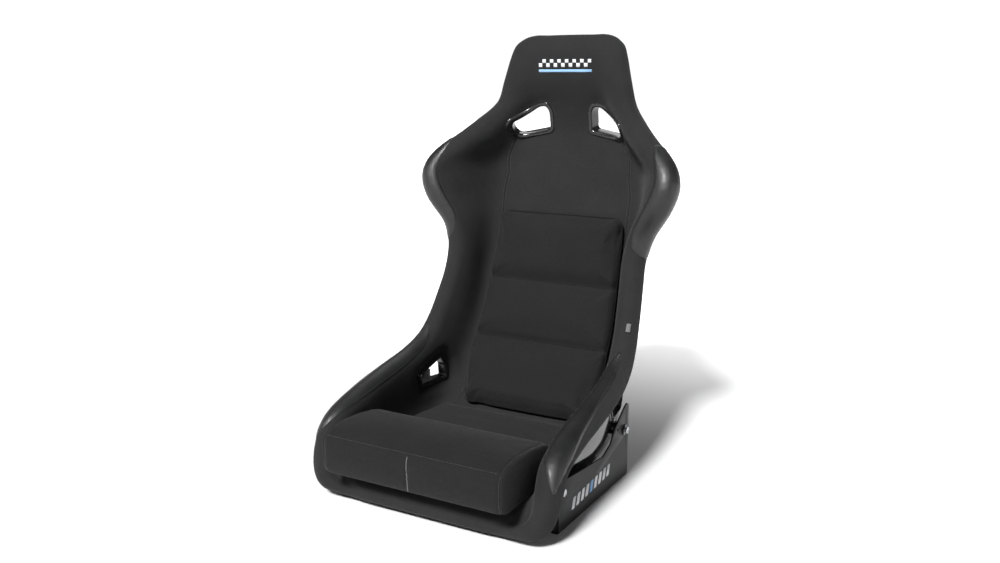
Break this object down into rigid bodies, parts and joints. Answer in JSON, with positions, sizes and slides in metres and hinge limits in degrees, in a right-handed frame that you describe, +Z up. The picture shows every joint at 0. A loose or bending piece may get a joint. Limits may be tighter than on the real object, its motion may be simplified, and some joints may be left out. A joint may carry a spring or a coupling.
{
  "type": "racing seat",
  "caption": "Fixed-back bucket seat with padded wings and bolsters, loose back, hip and thigh cushions, harness slots and L-shaped steel side mounts.",
  "frame": {"origin": "middle of the bounding box's base, on the floor plane the bracket flanges rest on", "axes": "+Z up, the sitter faces -Y, +X is the sitter's left"},
  "size_m": [0.616, 0.6884, 0.8968],
  "materials": {
    "knit": "matte black stretch knit",
    "cushion_knit": "matte black spacer knit",
    "vinyl": "satin black grained vinyl",
    "gelcoat": "polished black gelcoat on fibreglass",
    "trim_plastic": "gloss black moulded plastic",
    "black_steel": "black powder coat",
    "zinc": "zinc plated",
    "hook_tape": "black hook-and-loop tape",
    "thread": "pale embroidery thread"
  },
  "bodies": {
    "base": {"bracket_left": "black_steel", "bracket_right": "black_steel"},
    "seat": {"cover": "knit", "wing_patch_left": "vinyl", "wing_patch_right": "vinyl", "thigh_patch_left": "vinyl", "thigh_patch_right": "vinyl", "shell": "gelcoat", "shoulder_bezel_left": "trim_plastic", "shoulder_bezel_right": "trim_plastic", "shoulder_back_ring_left": "trim_plastic", "shoulder_back_ring_right": "trim_plastic", "lap_bezel_left": "trim_plastic", "lap_bezel_right": "trim_plastic", "lap_back_ring_left": "trim_plastic", "lap_back_ring_right": "trim_plastic", "crotch_bezel": "trim_plastic", "crotch_back_ring": "trim_plastic", "washer_front_left": "trim_plastic", "washer_front_right": "trim_plastic", "washer_rear_left": "trim_plastic", "washer_rear_right": "trim_plastic", "mount_insert_front_left": "zinc", "mount_insert_front_right": "zinc", "mount_insert_rear_left": "zinc", "mount_insert_rear_right": "zinc", "bolt_front_left": "zinc", "bolt_front_right": "zinc", "bolt_rear_left": "zinc", "bolt_rear_right": "zinc", "back_grip_strip_left": "hook_tape", "back_grip_strip_right": "hook_tape", "hip_grip_strip_left": "hook_tape", "hip_grip_strip_right": "hook_tape", "thigh_grip_strip_left": "hook_tape", "thigh_grip_strip_right": "hook_tape", "head_badge": "thread", "label_tag": "thread"},
    "back_cushion": {"back_cushion": "cushion_knit"},
    "hip_cushion": {"hip_cushion": "cushion_knit"},
    "thigh_cushion": {"thigh_cushion": "cushion_knit"}
  },
  "joints": [
    {"name": "seat_tilt", "type": "hinge", "parent": "base", "child": "seat", "pos_m": [0, -0.208, 0.078], "axis": [1, 0, 0], "range_deg": [-1.5, 1.5]},
    {"name": "back_cushion_lift", "type": "slide", "parent": "seat", "child": "back_cushion", "axis": [0, -0.6428, 0.766], "range_m": [0, 0.45]},
    {"name": "hip_cushion_lift", "type": "slide", "parent": "seat", "child": "hip_cushion", "axis": [0, 0, 1], "range_m": [0, 0.32]},
    {"name": "thigh_cushion_lift", "type": "slide", "parent": "seat", "child": "thigh_cushion", "axis": [0, 0, 1], "range_m": [0, 0.22]}
  ]
}
